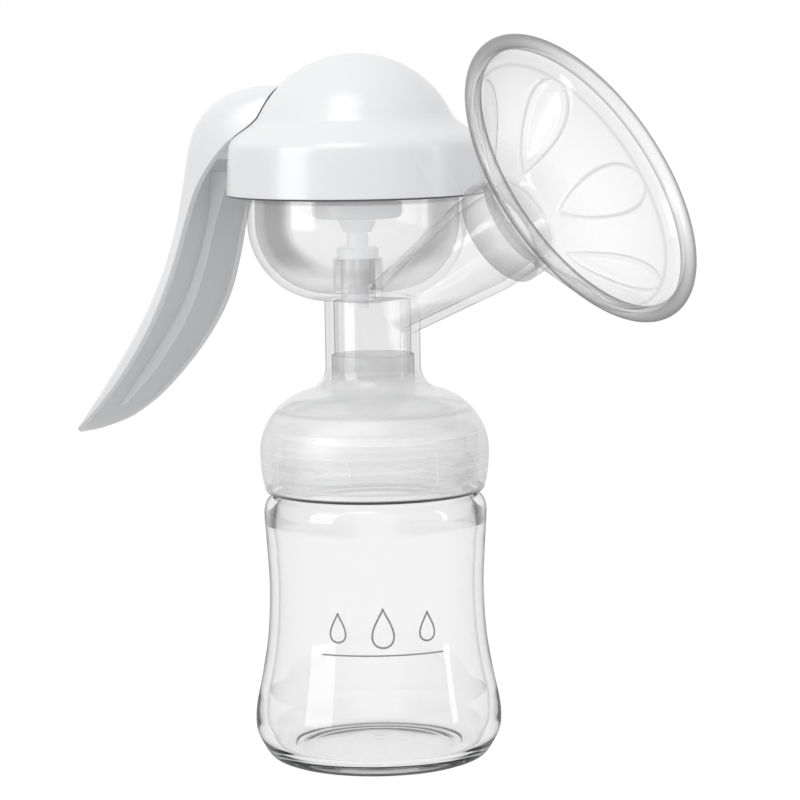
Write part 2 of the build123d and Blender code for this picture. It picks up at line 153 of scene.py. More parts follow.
def skin(bm, rings):
    """Closed skin over rings of vertices that all have as many corners."""
    count = len(rings[0])
    for low, high in zip(rings, rings[1:]):
        for k in range(count):
            n = (k + 1) % count
            bm.faces.new((low[k], low[n], high[n], high[k]))
    bm.faces.new(rings[0])
    bm.faces.new(rings[-1])


def move_to(bm, matrix):
    bmesh.ops.transform(bm, matrix=matrix, verts=bm.verts)
    return bm


def funnel_matrix():
    """Places a shape turned about z on the funnel's axis, its zero height at the mouth."""
    z = FUNNEL_AXIS
    y = Vector((0, 1, 0))
    x = y.cross(z)
    basis = Matrix((x, y, z)).transposed().to_4x4()
    return Matrix.Translation(FUNNEL_MOUTH) @ basis


def solid(name, bm):
    """A helper object for cutting; it is removed after use."""
    return new_object(name, bm, WHITE, 180)


def cut(target, other, operation):
    """Applies a boolean with a helper object to the target's mesh and removes the helper."""
    modifier = target.modifiers.new("cut", "BOOLEAN")
    modifier.operation = operation
    modifier.solver = "EXACT"
    modifier.object = other
    graph = bpy.context.evaluated_depsgraph_get()
    mesh = bpy.data.meshes.new_from_object(target.evaluated_get(graph))
    target.modifiers.clear()
    old = target.data
    target.data = mesh
    bpy.data.meshes.remove(old)
    bpy.data.objects.remove(other)


def box_mesh(low, high):
    """Closed box between two corners in mm, for cutting only."""
    bm = bmesh.new()
    bmesh.ops.create_cube(bm, size=1.0)
    for vertex in bm.verts:
        for axis in range(3):
            vertex.co[axis] = (high[axis] if vertex.co[axis] > 0 else low[axis]) * MM
    return bm


# ---------------------------------------------------------------- materials
HEAD_ON_SHINE = 0.04


class Shader:
    """A material's or a world's nodes, built step by step; passing a socket as a value links it."""

    def __init__(self, owner):
        self.owner = owner
        owner.use_nodes = True
        self.tree = owner.node_tree
        self.tree.nodes.clear()

    def node(self, kind, inputs=None, **settings):
        made = self.tree.nodes.new(kind)
        for key, value in settings.items():
            setattr(made, key, value)
        for key, value in (inputs or {}).items():
            socket = made.inputs[key]
            if isinstance(value, bpy.types.NodeSocket):
                self.tree.links.new(value, socket)
            else:
                socket.default_value = value
        return made

    def ramp(self, factor, stops):
        made = self.node("ShaderNodeValToRGB", {"Fac": factor})
        elements = made.color_ramp.elements
        while len(elements) < len(stops):
            elements.new(0.5)
        for element, (position, value) in zip(elements, stops):
            element.position = position
            colour = value if isinstance(value, tuple) else (value, value, value)
            element.color = (*colour, 1.0)
        return made.outputs["Color"]

    def facing(self):
        """0 where the surface is seen head-on, 1 where it is seen edge-on."""
        return self.node("ShaderNodeLayerWeight", {"Blend": 0.5}).outputs["Facing"]

    def shine(self):
        """Share of light mirrored by the outside of a surface; a quarter of that on its inside."""
        steep = self.math("POWER", self.facing(), 5.0)
        share = self.math("ADD", self.math("MULTIPLY", steep, 1 - HEAD_ON_SHINE), HEAD_ON_SHINE)
        inside = self.node("ShaderNodeNewGeometry").outputs["Backfacing"]
        return self.math("MULTIPLY", share, self.spread(inside, 0.0, 1.0, 1.0, 0.25))

    def math(self, operation, a, b=0.0, clamp=False):
        made = self.node("ShaderNodeMath", {0: a, 1: b}, operation=operation, use_clamp=clamp)
        return made.outputs[0]

    def noise(self, scale, detail=3.0):
        where = self.node("ShaderNodeTexCoord").outputs["Object"]
        made = self.node("ShaderNodeTexNoise", {"Vector": where, "Scale": scale, "Detail": detail})
        return made.outputs["Fac"]

    def place(self):
        """The x, y and z of the shaded point in the object's own frame."""
        where = self.node("ShaderNodeTexCoord").outputs["Object"]
        axes = self.node("ShaderNodeSeparateXYZ", {0: where}).outputs
        return axes["X"], axes["Y"], axes["Z"]

    def spread(self, value, low, high, to_low=0.0, to_high=1.0):
        made = self.node("ShaderNodeMapRange", {0: value, 1: low, 2: high, 3: to_low, 4: to_high})
        return made.outputs[0]

    def band(self, value, rise, fall):
        """1 between the two ramps, falling to 0 outside them."""
        return self.math("MULTIPLY", self.spread(value, *rise), self.spread(value, *fall))

    def bump(self, height, distance, strength=1.0):
        made = self.node("ShaderNodeBump", {"Height": height, "Distance": distance, "Strength": strength})
        return made.outputs[0]

    def blend_colour(self, factor, a, b):
        made = self.node("ShaderNodeMix", {0: factor}, data_type="RGBA")
        for index, value in ((6, a), (7, b)):
            if isinstance(value, bpy.types.NodeSocket):
                self.tree.links.new(value, made.inputs[index])
            else:
                made.inputs[index].default_value = value
        return made.outputs[2]

    def mix(self, factor, a, b):
        return self.node("ShaderNodeMixShader", {0: factor, 1: a, 2: b}).outputs[0]

    def let_light_by(self, shader, colour):
        """The shader as it is seen, while light on its way to other parts only takes on this colour."""
        clear = self.node("ShaderNodeBsdfTransparent", {"Color": colour}).outputs[0]
        path = self.node("ShaderNodeLightPath").outputs
        passing = self.math("MAXIMUM", path["Is Shadow Ray"], path["Is Diffuse Ray"])
        return self.mix(passing, shader, clear)

    def finish(self, shader):
        self.node("ShaderNodeOutputMaterial", {"Surface": shader})
        return self.owner


def new_shader(name):
    return Shader(bpy.data.materials.new(name))


# glow above 0 is painted light: an even white emission from a part that is no lamp
def white_plastic(name, tone=(0.84, 0.845, 0.855), gloss=0.26, grain=0.00001, glow=0.0):
    """Moulded opaque white plastic: faint moulding grain and slow roughness variation."""
    s = new_shader(name)
    cloud = s.noise(18.0, 1.0)
    fine = s.noise(1500.0, 1.0)
    colour = s.ramp(cloud, [(0.2, tuple(c * 0.99 for c in tone)), (0.8, tone)])
    rough = s.spread(cloud, 0.2, 0.8, gloss * 0.95, gloss * 1.1)
    surface = s.node("ShaderNodeBsdfPrincipled", {
        "Base Color": colour, "Roughness": rough, "IOR": 1.5,
        "Subsurface Weight": 0.12, "Subsurface Radius": (0.004, 0.004, 0.0042), "Subsurface Scale": 0.5,
        "Coat Weight": 0.25, "Coat Roughness": 0.12,
        "Normal": s.bump(fine, grain), "Emission Color": (1, 1, 1, 1), "Emission Strength": glow,
    })
    return s.finish(surface.outputs[0])


def clear_shell(s, tint, milk, gloss_rough, body_colour):
    """See-through plastic or silicone without refraction.

    tint is the colour of light that passes and milk the share of milky body, as sockets or values.
    Light on its way to other parts passes almost unchanged.
    """
    through = s.node("ShaderNodeBsdfTransparent", {"Color": tint}).outputs[0]
    cloud = s.noise(40.0, 1.0)
    normal = s.bump(s.noise(1500.0, 1.0), 0.00001)
    milky = s.ramp(cloud, [(0.3, 0.98), (0.7, 1.0)])
    milky = s.node("ShaderNodeVectorMath", {0: milky, 1: body_colour}, operation="MULTIPLY").outputs[0]
    body = s.node("ShaderNodeBsdfPrincipled", {
        "Base Color": milky, "Roughness": 0.45, "Normal": normal,
    }).outputs[0]
    shell = s.mix(milk, through, body)
    mirror = s.node("ShaderNodeBsdfGlossy", {
        "Color": (1, 1, 1, 1), "Roughness": gloss_rough, "Normal": normal,
    }).outputs[0]
    whole = s.mix(s.shine(), shell, mirror)
    return s.finish(s.let_light_by(whole, (0.97, 0.97, 0.975, 1)))


# pump body: share of light that passes, from seen head-on (0) to edge-on (1)
THIN_WALL = [(0.0, 0.985), (0.35, 0.97), (0.7, 0.95), (0.9, 0.89), (1.0, 0.45)]
# the bowl's grey band at mid angles is painted shade, standing for darker surroundings seen in its thick wall
BOWL_SHADE_BAND = [(0.0, 0.99), (0.235, 0.99), (0.30, 0.77), (0.54, 0.76), (0.66, 0.95), (0.9, 0.92), (1.0, 0.4)]
# the neck's grey and clear stripes are painted reflection bands
NECK_REFLECTION_BANDS = [
    (0.0, 0.955), (0.10, 0.95), (0.13, 0.995), (0.28, 0.995),
    (0.32, 0.90), (0.6, 0.90), (0.72, 0.96), (1.0, 0.4),
]
# heights in metres between which a look fades in and then out again
THREAD_BAND = ((0.0725, 0.074), (0.0865, 0.085))
# painted shade line along the step between skirt and flare
STEP_SHADE_BAND = ((0.0896, 0.0903), (0.0911, 0.0904))
FLARE_BAND = ((0.0900, 0.0906), (0.1010, 0.0965))
NECK_BAND = ((0.0975, 0.0990), (0.1190, 0.1180))
# painted shadow just below the cap's edge
RIM_SHADOW_BAND = ((0.1432, 0.1437), (0.1452, 0.1447))
# places in metres from where a look fades in to where it is full
# painted shadow along the skirt's lower edge, where it meets the bottle
HEM_SHADOW = (0.0702, 0.0699)
SKIRT_TOP = (0.0912, 0.0902)
BOWL_FOOT = (0.1245, 0.1285)
BOWL_SIDE = (0.020, 0.008)
# radius inside which the bowl takes the painted shadow line
RIM_SHADOW_R = (0.0286, 0.0282)
THREAD_LINE_GAP = 0.002
# profile of the pale thread lines, partly painted highlight
THREAD_LINE = [(0.0, 0.0), (0.42, 0.0), (0.5, 1.0), (0.58, 0.0), (1.0, 0.0)]
RIM_SHADOW_SHARE = 0.22


def thread_highlight_lines(s, x, y, z):
    """Thin pale lines winding around the skirt: its inner thread showing through, with the thread's highlights
    painted in.
    """
    turn = s.math("DIVIDE", s.math("ARCTAN2", y, x), TURN)
    along = s.math("FRACT", s.math("SUBTRACT", s.math("DIVIDE", z, THREAD_LINE_GAP), turn))
    return s.math("MULTIPLY", s.band(z, *THREAD_BAND), s.ramp(along, THREAD_LINE))


def bowl_rim_shadow(s, x, y, z):
    """Painted shadow: faint dark line around the bowl just below its rim, where the cap's shade falls, not on the
    funnel tube.
    """
    aside = s.math("POWER", s.math("SUBTRACT", x, HEAD_X), 2.0)
    from_axis = s.math("SQRT", s.math("ADD", aside, s.math("POWER", y, 2.0)))
    return s.math("MULTIPLY", s.band(z, *RIM_SHADOW_BAND), s.spread(from_axis, *RIM_SHADOW_R, 0.0, RIM_SHADOW_SHARE))


def frosted_body(name):
    """Pump body: clear neck and tube with painted reflection bands on the neck, a thicker bowl greyed by a painted
    shade band, milky skirt with its thread showing through as pale lines partly painted as highlight, painted
    shadow lines below the cap and along the skirt's hem, and a painted shade line at the skirt's step.
    """
    s = new_shader(name)
    facing = s.facing()
    x, y, z = s.place()
    in_bowl = s.math("MULTIPLY", s.spread(z, *BOWL_FOOT), s.spread(x, *BOWL_SIDE))
    in_neck = s.band(z, *NECK_BAND)
    in_skirt = s.spread(z, *SKIRT_TOP)
    in_flare = s.band(z, *FLARE_BAND)
    # lip holds the painted shadow line just below the cap's edge
    lip = bowl_rim_shadow(s, x, y, z)
    # dark: the painted shadow lines below the cap and along the skirt's hem
    dark = s.math("MAXIMUM", lip, s.spread(z, *HEM_SHADOW))
    step = s.band(z, *STEP_SHADE_BAND)
    tint = s.blend_colour(in_neck, s.ramp(facing, THIN_WALL), s.ramp(facing, NECK_REFLECTION_BANDS))
    tint = s.blend_colour(in_bowl, tint, s.ramp(facing, BOWL_SHADE_BAND))
    # painted shadow: grey tint on these lines
    tint = s.blend_colour(dark, tint, (0.25, 0.25, 0.26, 1))
    milk = s.spread(in_skirt, 0.0, 1.0, 0.07, 0.50)
    milk = s.math("ADD", milk, s.math("MULTIPLY", thread_highlight_lines(s, x, y, z), 0.14))
    milk = s.math("ADD", milk, s.math("MULTIPLY", in_flare, 0.34))
    milk = s.math("ADD", milk, s.math("MULTIPLY", in_bowl, 0.02))
    milk = s.math("ADD", milk, s.math("MULTIPLY", lip, 0.3), clamp=True)
    # painted shade: grey body colour along the step between skirt and flare
    colour = s.blend_colour(step, (0.97, 0.97, 0.972, 1), (0.66, 0.66, 0.67, 1))
    # painted shadow: near-black body colour on these lines
    colour = s.blend_colour(dark, colour, (0.06, 0.06, 0.065, 1))
    rough = s.spread(in_skirt, 0.0, 1.0, 0.06, 0.42)
    return clear_shell(s, tint, milk, rough, colour)


def soft_silicone(name, tint_stops, milk_stops, fold_shade_depth):
    """Clear silicone with painted shade where the mesh marks it: along folds and outlines, and towards the rim of
    the dish.
    """
    s = new_shader(name)
    facing = s.facing()
    crease_shade = s.node("ShaderNodeAttribute", attribute_name="crease_shade").outputs["Fac"]
    line = s.ramp(crease_shade, [(0.0, 1.0), (1.0, 1.0 - fold_shade_depth)])
    tint = s.ramp(facing, tint_stops)
    tint = s.node("ShaderNodeVectorMath", {0: tint, 1: line}, operation="MULTIPLY").outputs[0]
    core = s.node("ShaderNodeAttribute", attribute_name="core").outputs["Fac"]
    milk = s.math("ADD", s.ramp(facing, milk_stops), s.math("MULTIPLY", core, 0.55), clamp=True)
    return clear_shell(s, tint, milk, 0.05, (0.95, 0.95, 0.955))


def bottle_glass(name):
    """Thick clear glass: real refraction, slightly grey where it is seen edge-on, no dark shadow."""
    s = new_shader(name)
    facing = s.facing()
    tint = s.ramp(s.math("POWER", facing, 2.0), [(0.0, 0.972), (0.55, 0.93), (1.0, 0.36)])
    ripple = s.noise(35.0, 2.0)
    glass = s.node("ShaderNodeBsdfGlass", {
        "Color": tint, "Roughness": 0.0, "IOR": 1.46, "Normal": s.bump(ripple, 0.00006, 0.4),
    }).outputs[0]
    return s.finish(s.let_light_by(glass, (0.93, 0.94, 0.94, 1)))


def steel(name):
    s = new_shader(name)
    streak = s.noise(900.0, 3.0)
    surface = s.node("ShaderNodeBsdfPrincipled", {
        "Base Color": s.ramp(streak, [(0.3, 0.55), (0.7, 0.66)]), "Metallic": 1.0,
        "Roughness": s.spread(streak, 0.3, 0.7, 0.18, 0.32), "Normal": s.bump(streak, 0.000005),
    })
    return s.finish(surface.outputs[0])


def milky_silicone(name):
    s = new_shader(name)
    cloud = s.noise(120.0, 3.0)
    through = s.node("ShaderNodeBsdfTransparent", {"Color": (0.97, 0.97, 0.975, 1)}).outputs[0]
    body = s.node("ShaderNodeBsdfPrincipled", {
        "Base Color": s.ramp(cloud, [(0.3, 0.90), (0.7, 0.93)]), "Roughness": 0.42,
        "Normal": s.bump(s.noise(1500.0, 2.0), 0.00001),
    }).outputs[0]
    amount = s.spread(cloud, 0.3, 0.7, 0.45, 0.55)
    return s.finish(s.mix(amount, through, body))


def ink(name):
    s = new_shader(name)
    cloud = s.noise(900.0, 2.0)
    colour = s.ramp(cloud, [(0.3, 0.26), (0.7, 0.31)])
    surface = s.node("ShaderNodeBsdfPrincipled", {"Base Color": colour, "Roughness": 0.6})
    return s.finish(surface.outputs[0])


INK = ink("grey_ink")
WHITE = white_plastic("white_gloss")
# painted shade: darker white for the inside of the handle's channel, where shade falls
CHANNEL_SHADED = white_plastic("white_channel_painted_shade", (0.72, 0.725, 0.735))
# painted light: the inner parts glow a little, standing for light scattered inside the frosted chamber
INNER_GLOWING = white_plastic("white_inner", (0.92, 0.925, 0.93), 0.4, 0.00004, glow=0.16)
GLASS = bottle_glass("bottle_clear")
# painted shadow: near-black plastic on the cap's lowest rounding stands for the shade in the gap under the cap
CAP_EDGE_SHADOW = white_plastic("cap_edge_painted_shadow", (0.10, 0.10, 0.105), 0.5)
FROSTED = frosted_body("body_frosted")
SOFT_CLEAR = soft_silicone(
    "silicone_clear",
    [(0.0, 0.99), (0.4, 0.978), (0.62, 0.95), (0.8, 0.91), (0.92, 0.76), (1.0, 0.28)],
    [(0.0, 0.07), (0.6, 0.10), (1.0, 0.14)], 0.42,
)
# painted shading on the bead: greyer towards its sides by the tint, and a painted highlight line by the milk where
# it faces the view
SOFT_BEAD_SHADED = soft_silicone(
    "silicone_bead",
    [(0.0, 0.99), (0.12, 0.96), (0.28, 0.80), (0.5, 0.58), (0.72, 0.40), (1.0, 0.06)],
    [(0.0, 0.30), (0.2, 0.12), (1.0, 0.02)], 0.0,
)
MILKY = milky_silicone("silicone_milky")
STEEL = steel("steel")


def paint_nodes():
    """Gives every CAD node that stays its slot's material."""
    by_slot = {
        "bottle_clear": GLASS, "body_frosted": FROSTED, "white_gloss": WHITE, "white_inner": INNER_GLOWING,
        "silicone_clear": SOFT_CLEAR, "silicone_milky": MILKY, "steel": STEEL,
    }
    for part in frame["record"]["subparts"]:
        mesh = nodes[part["node"]].data
        mesh.materials.clear()
        mesh.materials.append(by_slot[part["material_slot"]])
        shade(mesh, 32.0)


# ---------------------------------------------------------------- bottle
WAIST = [(29.5, 23.0), (28.0, 32.5), (27.4, 44.0), (27.8, 54.0)]
NECK_R = 23.6
THREAD_R = 25.3
THREAD_START = 72.6
THREAD_PITCH = 4.0
THREAD_TURNS = 1.5
THREAD_ROOT_HALF = 0.95
THREAD_CREST_HALF = 0.5
# steps along the helix over which each end fades
THREAD_FADE = 14


def make_bottle():
    outside = smooth_curve([
        (24.2, 0.0), (27.4, 1.4), (29.6, 4.4), (31.1, 7.6), (31.5, 10.8), (31.1, 15.2),
        *WAIST, (28.35, 62.5), (28.3, 65.2), (27.6, 67.2), (26.2, 68.6), (24.6, 69.4),
    ])
    mouth = arc((22.7, 82.95), 0.9, 0, 90, 5) + arc((22.1, 82.95), 0.9, 90, 180, 5)
    neck = [(23.7, 70.4), (NECK_R, 71.0), (NECK_R, 82.9)] + mouth
    inside = smooth_curve([
        (21.2, 71.2), (21.9, 69.6), (23.6, 67.8), (25.3, 65.6), (25.9, 61.0), (25.5, 54.0),
        (25.1, 44.0), (25.7, 32.5), (27.1, 23.0), (28.5, 16.4), (28.9, 11.4), (28.1, 7.4),
        (26.0, 4.6), (22.6, 3.6), (12.0, 4.4), (0.0, 4.8),
    ])
    punt = smooth_curve([(0.0, 2.4), (8.0, 2.25), (14.0, 1.8), (19.0, 0.9), (22.0, 0.0)])
    profile = outside + neck + inside + punt
    glass = new_object("glass_bottle", lathe(profile), GLASS, 40)
    cut(glass, solid("thread", thread_ridge()), "UNION")
    shade(glass.data, 40)
    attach(glass, "bottle")
    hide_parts("bottle")


def thread_ridge():
    """Trapezoidal ridge on a right-handed helix around the neck; both ends fade into the neck."""
    bm = bmesh.new()
    steps = int(THREAD_TURNS * SEGMENTS)
    rings = []
    for k in range(steps + 1):
        turn = THREAD_TURNS * k / steps
        fade = min(1.0, k / THREAD_FADE, (steps - k) / THREAD_FADE)
        crest = NECK_R - 0.1 + (THREAD_R - NECK_R + 0.1) * fade * fade * (3 - 2 * fade)
        section = [
            (NECK_R - 0.3, -THREAD_ROOT_HALF), (crest, -THREAD_CREST_HALF),
            (crest, THREAD_CREST_HALF), (NECK_R - 0.3, THREAD_ROOT_HALF),
        ]
        z = THREAD_START + THREAD_PITCH * turn
        angle = TURN * turn
        rings.append([
            bm.verts.new((r * cos(angle) * MM, r * sin(angle) * MM, (z + h) * MM)) for r, h in section
        ])
    skin(bm, rings)
    return bm


# printed mark: place around the glass and size of each drop, in mm
DROPS = ((-11.5, 2.9), (0.0, 3.9), (11.5, 2.9))
DROP_POINTS = 40
DROP_HEIGHT = 38.2
DROP_STRETCH = 1.25
DROP_LINE = 0.5
RULE_HEIGHT = 31.4
RULE_LINE = 0.4
RULE_HALF = 16
INK_LIFT = 0.06
# turn of the mark away from the front, in radians
MARK_TURN = 0.05


def bottle_radius(height):
    """Outer radius of the bottle's wall at a height, in mm, near its waist."""
    waist = smooth_curve(WAIST, 12)
    low, high = min(zip(waist, waist[1:]), key=lambda pair: abs(pair[0][1] + pair[1][1] - 2 * height))
    return (low[0] + high[0]) / 2


def make_print():
    """Generic printed mark on the glass: three outlined drops over a thin rule."""
    facing = atan2(TO_CAMERA.y, TO_CAMERA.x) + MARK_TURN
    bm = bmesh.new()

    def on_glass(across, height):
        radius = bottle_radius(height) + INK_LIFT
        angle = facing + across / radius
        return (radius * cos(angle) * MM, radius * sin(angle) * MM, height * MM)

    def ribbon(points, width, closed):
        edges = []
        count = len(points)
        for k, (x, z) in enumerate(points):
            before = points[(k - 1) % count] if closed or k else points[k]
            after = points[(k + 1) % count] if closed or k < count - 1 else points[k]
            dx, dz = after[0] - before[0], after[1] - before[1]
            size = hypot(dx, dz) or 1.0
            off = (-dz / size * width / 2, dx / size * width / 2)
            edges.append([bm.verts.new(on_glass(x + side * off[0], z + side * off[1])) for side in (1, -1)])
        for k in range(count if closed else count - 1):
            low, high = edges[k], edges[(k + 1) % count]
            bm.faces.new((low[0], low[1], high[1], high[0]))

    for centre, size in DROPS:
        drop = []
        for k in range(DROP_POINTS):
            turn = TURN * k / DROP_POINTS
            narrow = sin(turn / 2) ** 1.5
            drop.append((centre + size * sin(turn) * narrow, DROP_HEIGHT + DROP_STRETCH * size * cos(turn)))
        ribbon(drop, DROP_LINE, True)
    ribbon([(across, RULE_HEIGHT) for across in range(-RULE_HALF, RULE_HALF + 1)], RULE_LINE, False)
    mark = new_object("printed_mark", bm, INK)
    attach(mark, "bottle")


# ---------------------------------------------------------------- flange cushion
PETALS = 6
PETAL_FIRST = 29.0
PETAL_IN = 13.5
PETAL_OUT = 33.5
PETAL_HALF = 6.6
PETAL_RISE = 0.75
PETAL_LINE = 0.45
PETAL_SLOPE = 2.4
# radii on the dish in mm: edge of its milky core, the distance over which painted shade grows towards the rim, and
# the painted shade line in the fold just inside the bead
CORE_R = 20.0
CORE_FADE = 6.0
RIM_SHADE_FADE = 15.0
RIM_LINE_R = 33.9
RIM_LINE_HALF = 0.35
# value of the leaf's outline formula where it is widest, and a distance with no petal near
LEAF_PEAK = 0.401
FAR_OUTSIDE = -9.0
RING = 400


def inside_petal(radius, angle):
    """Distance in mm from this point of the dish to the outline of its leaf, positive inside."""
    step = TURN / PETALS
    turned = (angle - radians(PETAL_FIRST) + step / 2) % step - step / 2
    along = radius * cos(turned)
    across = abs(radius * sin(turned))
    share = (along - PETAL_IN) / (PETAL_OUT - PETAL_IN)
    if not 0 < share < 1:
        return FAR_OUTSIDE
    half = PETAL_HALF * share**0.9 * (1 - share) ** 0.5 / LEAF_PEAK
    return half - across


def petal_line(radius, angle):
    """1 on the outline of a leaf, falling to 0 on both sides."""
    return exp(-((inside_petal(radius, angle) / PETAL_LINE) ** 2))


def petal_height(radius, angle):
    """Height of the raised leaf and its outline at this point of the dish, as a share of PETAL_RISE."""
    bulge = min(1.0, max(0.0, inside_petal(radius, angle) / PETAL_SLOPE))
    return 0.7 * bulge * bulge * (3 - 2 * bulge) + 0.7 * petal_line(radius, angle)


def make_cushion():
    bead = arc((RIM_R, 0), BEAD_R, -130, 170, 22)
    dish = smooth_curve([
        (35.6, -2.6), (34.3, -3.5), (30.0, -6.4), (24.0, -10.8),
        (18.0, -15.4), (13.6, -18.4), (11.6, -19.5), (10.4, -20.3),
    ], 10)
    lip = [(10.4, -20.9), (12.35, -20.9), (12.35, -28.0)]
    sleeve = [(13.0, -28.3), (13.7, -28.0), (13.72, -27.65), (13.8, -24.0), (13.8, -20.8)]
    back = smooth_curve([
        (13.9, -20.2), (15.6, -18.7), (20.0, -15.7), (25.0, -12.0), (31.0, -7.6), (35.4, -4.4),
    ], 10)
    profile = bead + dish + lip + sleeve + back
    first, last = len(bead), len(bead) + len(dish)
    back_first = last + len(lip) + len(sleeve)

    def bend(index, radius, angle, height):
        rise = petal_height(radius, angle)
        if first <= index < last:
            return radius - 0.4 * PETAL_RISE * rise, angle, height + PETAL_RISE * rise
        if index >= back_first:
            return radius, angle, height + 0.45 * PETAL_RISE * rise
        return radius, angle, height

    bm = lathe(profile, RING, bend=bend)
    crease_shade = bm.verts.layers.float.new("crease_shade")
    core = bm.verts.layers.float.new("core")
    bm.verts.ensure_lookup_table()
    for index in range(first * RING, last * RING):
        vertex = bm.verts[index]
        radius = hypot(vertex.co.x, vertex.co.y) / MM
        towards_rim = min(1.0, max(0.0, (radius - CORE_R) / RIM_SHADE_FADE)) ** 2
        band = exp(-(((radius - RIM_LINE_R) / RIM_LINE_HALF) ** 2))
        leaf = petal_line(radius, atan2(vertex.co.y, vertex.co.x))
        vertex[core] = min(1.0, max(0.0, (CORE_R - radius) / CORE_FADE))
        # painted shade: darker towards the rim, in the fold inside the bead and along the leaves' outlines
        vertex[crease_shade] = min(1.0, 0.26 * towards_rim + 0.45 * band + 0.75 * leaf)
    lip_end = last + len(lip)
    # painted shade ring at the throat's inner lip
    for index in range((lip_end - 1) * RING, (lip_end + 2) * RING):
        bm.verts[index][crease_shade] = 1.0
    for face in bm.faces:
        centre = face.calc_center_median()
        out, up = hypot(centre.x, centre.y) / MM - RIM_R, centre.z / MM
        face.material_index = int(hypot(out, up) < BEAD_R + 0.05)
    cushion = new_object("petal_cushion", move_to(bm, funnel_matrix()), SOFT_CLEAR, 60)
    cushion.data.materials.append(SOFT_BEAD_SHADED)
    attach(cushion, "cushion")
    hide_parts("flange_cushion")


# ---------------------------------------------------------------- dome cap
CAP_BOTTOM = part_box("dome_cap")[0].z / MM
CAP_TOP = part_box("dome_cap")[1].z / MM
DOME_R = 27.0
DOME_Z = CAP_TOP - DOME_R
CAP_WALL = 2.2
DOME_FOOT = 166.0
# height of the painted shadow line along the cap's lower edge, the shade in the gap between cap and bowl
EDGE_SHADOW_HEIGHT = 0.45
SLOT_HALF = 7.3
SLOT_BOTTOM = 148.0
SLOT_TOP = 162.6


def cap_outside(grow=0.0):
    """The cap's outer line from its bottom edge to the top, in (radius, height) mm."""
    foot = DOME_FOOT - DOME_Z
    start = 90 - atan2(sqrt((DOME_R + grow) ** 2 - foot**2), foot) * 360 / TURN
    wall = [(33.1, CAP_BOTTOM + 0.6), (32.85, 150.0), (32.45, 156.0)]
    shoulder = [(32.1, 158.0), (31.0, 159.5), (29.4, 160.7), (26.8, 162.5), (24.9, 164.3)]
    line = smooth_curve([(r + grow, z) for r, z in wall] + [(r + grow, z + grow / 2) for r, z in shoulder], 6)
    return line + arc((0, DOME_Z), DOME_R + grow, start, 90, 36)[:-1] + [(0.0, DOME_Z + DOME_R + grow)]


def make_cap():
    edge = arc((32.5, CAP_BOTTOM + 0.6), 0.6, 270, 350, 6)
    inner_r = DOME_R - CAP_WALL
    inside = [(0.0, DOME_Z + inner_r)] + arc((0, DOME_Z), inner_r, 90, 27, 24)[1:] + [
        (23.4, 162.8), (27.6, 159.0), (29.3, 157.0), (29.6, 155.0), (29.7, 151.4),
        (30.3, 151.4), (30.3, 145.3), (30.7, CAP_BOTTOM),
    ]
    bm = lathe(edge + cap_outside() + inside)
    # faces along the cap's lower edge get the painted shadow material
    for face in bm.faces:
        face.material_index = int(face.calc_center_median().z / MM < CAP_BOTTOM + EDGE_SHADOW_HEIGHT)
    cap = new_object("dome_cap_shell", move_to(bm, Matrix.Translation((HEAD_X, 0, 0))), WHITE, 40)
    cap.data.materials.append(CAP_EDGE_SHADOW)
    slot = box_mesh((-45, -SLOT_HALF, SLOT_BOTTOM), (PIVOT.x / MM, SLOT_HALF, SLOT_TOP))
    cut(cap, solid("slot", slot), "DIFFERENCE")
    shade(cap.data, 30)
    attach(cap, "cap")
    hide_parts("dome_cap")


# ---------------------------------------------------------------- handle
HANDLE_WALL = 2.3
# back line (x, z), free edge (x, z), half width: from the tip up and over the head
HANDLE_STATIONS = [
    (-93.0, 79.5, -92.2, 80.0, 5.0),
    (-90.6, 81.0, -89.6, 81.2, 9.0),
    (-87.4, 83.6, -85.4, 83.6, 11.4),
    (-82.2, 89.2, -78.2, 89.2, 13.4),
    (-75.0, 98.0, -69.4, 98.0, 14.6),
    (-67.4, 107.4, -61.6, 107.8, 15.5),
    (-61.1, 117.0, -56.1, 117.2, 15.6),
    (-56.6, 127.0, -52.1, 127.2, 14.7),
    (-53.5, 137.5, -48.9, 137.4, 13.9),
    (-51.9, 147.5, -44.6, 147.4, 13.8),
    (-50.9, 156.3, -37.0, 156.2, 14.2),
    (-48.4, 163.0, -31.0, 160.4, 14.3),
    (-43.6, 168.0, -26.0, 162.8, 13.9),
    (-37.0, 171.2, -22.0, 165.0, 13.0),
    (-29.4, 172.4, -19.0, 166.6, 12.2),
    (-19.0, 172.3, -17.0, 167.2, 11.6),
]
ACROSS = 36
EDGE_LIP = 0.35
CAP_GAP = 0.4
# the rib ends at this height
RIB_TOP = 150
# the rib is left out where the channel is shallower than this
RIB_DEPTH = 3.2
RIB_FOOT_HALF = 1.1
RIB_CREST_HALF = 0.45


